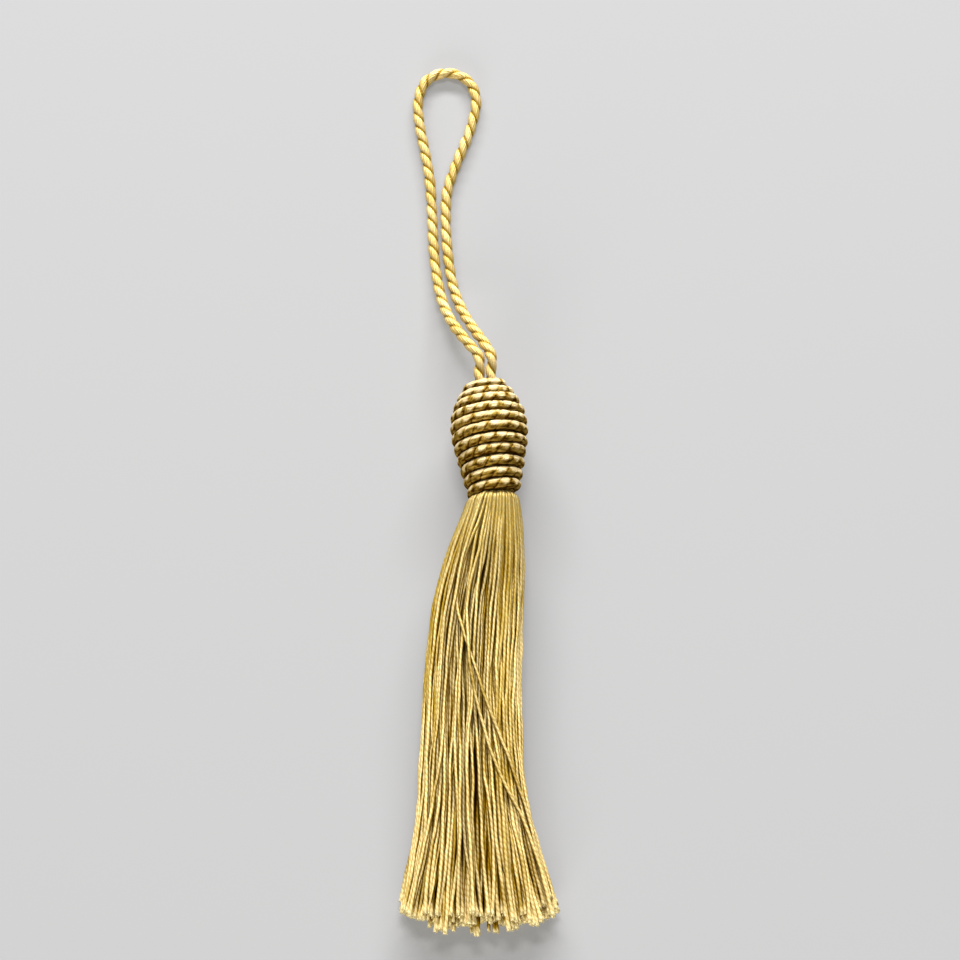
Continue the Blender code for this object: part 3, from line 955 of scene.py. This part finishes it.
strays = {
    # threads that lie across the others: (from head, x) along each
    "routes": (
        ((-2.0, 1.6), (4.0, 0.2), (10.0, -1.8), (17.0, -3.1), (23.5, -1.5), (29.5, 0.4),
         (35.5, 2.7), (41.5, 5.0), (47.0, 6.8), (53.0, 8.3), (59.0, 10.0)),
        ((-2.0, 1.9), (8.0, 0.3), (18.0, -1.6), (30.0, -0.6), (41.3, 2.8), (48.4, 6.4),
         (55.6, 8.8), (61.6, 10.4)),
        ((-2.0, 1.2), (12.0, -2.5), (25.0, -4.4), (38.0, -5.2), (50.0, -7.2), (61.6, -9.7)),
    ),
    "more": 14,
    "start": 0.6,                   # how far from the middle those start, by the half width
    "drift": (0.05, 0.25),          # how far they move across on their way, and how unequally
    "edge": 0.85,
    "waver": 0.04,
    "slope": (0.12, 0.32),          # they bridge dips steeper than this at the neck, and at the cut
    "reach": 0.45,                  # and rest on threads this far to either side
    "sink": (0.05, 0.65),           # how far they press in, and how much more at the neck
    "girth": 1.05,
    "tint": 0.2,
}


def restingHeight(spot, places, along, x):
    # how high a thread lies that is laid over all the others
    width = skirt["threadWidth"]
    at = (along - places[0]) / (places[1] - places[0])
    low = np.clip(at.astype(int), 0, len(places) - 2)
    share = (at - low)[None, :, None]
    under = spot[:, low] * (1 - share) + spot[:, low + 1] * share
    gap = np.maximum(np.abs(under[..., 0] - x) - strays["reach"], 0.0)
    over = under[..., 1] + np.sqrt(np.maximum(width**2 - gap**2, 0.0))
    top = np.where(gap < width, over, 0.5 * width).max(0)
    gentle, steep = strays["slope"]
    slope = gentle + (steep - gentle) * easeIn(along, 10.0, 40.0)
    fall = np.cumsum(slope * np.gradient(along))
    return smoothed((top[None] - np.abs(fall[:, None] - fall[None])).max(1), 6)


def layStrays(rng, spot, places):
    # lays them one after another, each over those before
    start, end = skirt["start"], skirt["end"]
    rows = np.linspace(start, end, 7)
    centre, half = sectionAt(rows)[:2]
    edge, sink = strays["edge"], strays["sink"]
    routes = []
    for _ in range(strays["more"]):
        first = rng.uniform(-strays["start"], strays["start"])
        last = np.clip(first + rng.normal(*strays["drift"]), -edge, edge)
        across = np.linspace(first, last, len(rows)) + rng.normal(0, strays["waver"], len(rows))
        routes.append(np.stack([rows, centre + half * across], 1))
    reaches = []
    for route in [*routes, *strays["routes"]]:
        line = evenLine(route, 0.5)
        reaches.append(line[-1, 0])
        along = places + (line[-1, 0] - end) * easeIn(places, 30.0, end)
        x = np.interp(along, line[:, 0], line[:, 1])
        pressed = sink[0] + sink[1] * (1 - easeIn(along, 1.0, 9.0))
        z = restingHeight(spot, places, along, x) - pressed
        spot = np.concatenate([spot, np.stack([x, z], 1)[None]])
    return spot, np.array(reaches)


def makeSkirt():
    rng = np.random.default_rng(skirt["seed"])
    places, spot, lock, strand, girth = layThreads(rng)
    count = len(spot)
    shorter, outwards = skirt["crowning"]
    edge = (spot[:, -1, 0] - spot[:, -1, 0].mean()) / outwards
    longer, height = skirt["slant"]
    byStrand, byThread = skirt["stagger"]
    ragged = rng.normal(0, byStrand, skirt["strands"])[strand]
    ragged = np.clip(ragged + rng.normal(0, byThread, count), *skirt["longest"])
    reach = skirt["end"] - shorter * edge**2 + ragged + longer * (spot[:, -1, 1] - height)
    spot, strayReach = layStrays(rng, spot, places)
    extra = len(strayReach)
    lock = np.concatenate([lock, np.full(extra, -1)])
    shared = rng.normal(0, threadShade["strandTint"], skirt["strands"])[strand]
    shared = np.concatenate([shared, np.full(extra, strays["tint"])])
    tint = rng.normal(*threadShade["tint"], len(spot)) + shared
    threads = {
        "coarse": bundlePaths(spot, places, np.concatenate([reach, strayReach])),
        "depth": depthUnder(spot, places),
        "girth": np.concatenate([girth, np.full(extra, strays["girth"])]),
        "tint": np.clip(tint, -0.1, 1.1),
        "turn": rng.uniform(0, math.tau, len(spot)),
    }
    plain = depthInside(spot, places, 0.0).min(1) > skirt["innerDepth"]
    for number in range(-1, skirt["locks"]):
        chosen = (lock == number) & ~plain
        if chosen.any():
            name = f"skirtLock{number + 1:02d}" if number >= 0 else "strayThreads"
            some = {key: value[chosen] for key, value in threads.items()}
            bundlePiece(name, some, threadYarn, skirt["step"], rng)
    heart = {key: value[plain] for key, value in threads.items()}
    bundlePiece("skirtHeart", heart, innerYarn, skirt["innerStep"], rng)
    last = threads["coarse"][:, -1]
    aim = np.stack([last, unit(last - threads["coarse"][:, -2])], 1)
    cutEnds(aim, threads["tint"], rng)
    print("skirt laid,", len(spot), "threads,", int(plain.sum()), "of them hidden")


makeSkirt()


studio = {
    "floor": (0.215, 0.216, 0.223),
    "floorGlow": 0.25,
    "reach": 3.0,
    "world": (1.0, 0.94, 0.74),
    "worldStrength": 0.21,
    "gamma": 0.8,
    "exposure": 0.14,
    "aim": (0.0, 0.02, 0.0),
    "lamps": {
        # name: place in metres, width, height, watts
        "softboxBehind": ((0.0, 1.95, 1.12), 2.6, 0.4, 112.0),
        "softboxAbove": ((0.0, 0.58, 1.60), 0.6, 0.3, 11.0),
        "fillInFront": ((-0.4, -1.5, 0.45), 0.8, 0.5, 17.0),
    },
}


def makeStudio():
    finish = Finish("paleFloor")
    finish.feed(finish.shader, {
        "Base Color": (*studio["floor"], 1), "Roughness": 0.7,
        "Emission Color": (1, 1, 1, 1), "Emission Strength": studio["floorGlow"],
    })
    reach = studio["reach"]
    mesh = bpy.data.meshes.new("floor")
    corners = [(-reach, -reach, 0), (reach, -reach, 0), (reach, reach, 0), (-reach, reach, 0)]
    mesh.from_pydata(corners, [], [(0, 1, 2, 3)])
    mesh.materials.append(finish.material)
    floor = bpy.data.objects.new("floor", mesh)
    bpy.context.scene.collection.objects.link(floor)
    world = bpy.data.worlds.new("studio")
    world.use_nodes = True
    sky = world.node_tree.nodes["Background"]
    sky.inputs["Color"].default_value = (*studio["world"], 1)
    sky.inputs["Strength"].default_value = studio["worldStrength"]
    bpy.context.scene.world = world
    for name, (place, width, height, power) in studio["lamps"].items():
        lamp = bpy.data.lights.new(name, "AREA")
        lamp.shape = "RECTANGLE"
        lamp.size = width
        lamp.size_y = height
        lamp.energy = power
        lampObject = bpy.data.objects.new(name, lamp)
        lampObject.location = place
        aim = Vector(studio["aim"]) - Vector(place)
        lampObject.rotation_euler = aim.to_track_quat("-Z", "Y").to_euler()
        bpy.context.scene.collection.objects.link(lampObject)
    display = bpy.context.scene.view_settings
    display.view_transform = "Standard"
    display.gamma = studio["gamma"]
    display.exposure = studio["exposure"]


makeStudio()
print("studio lit")
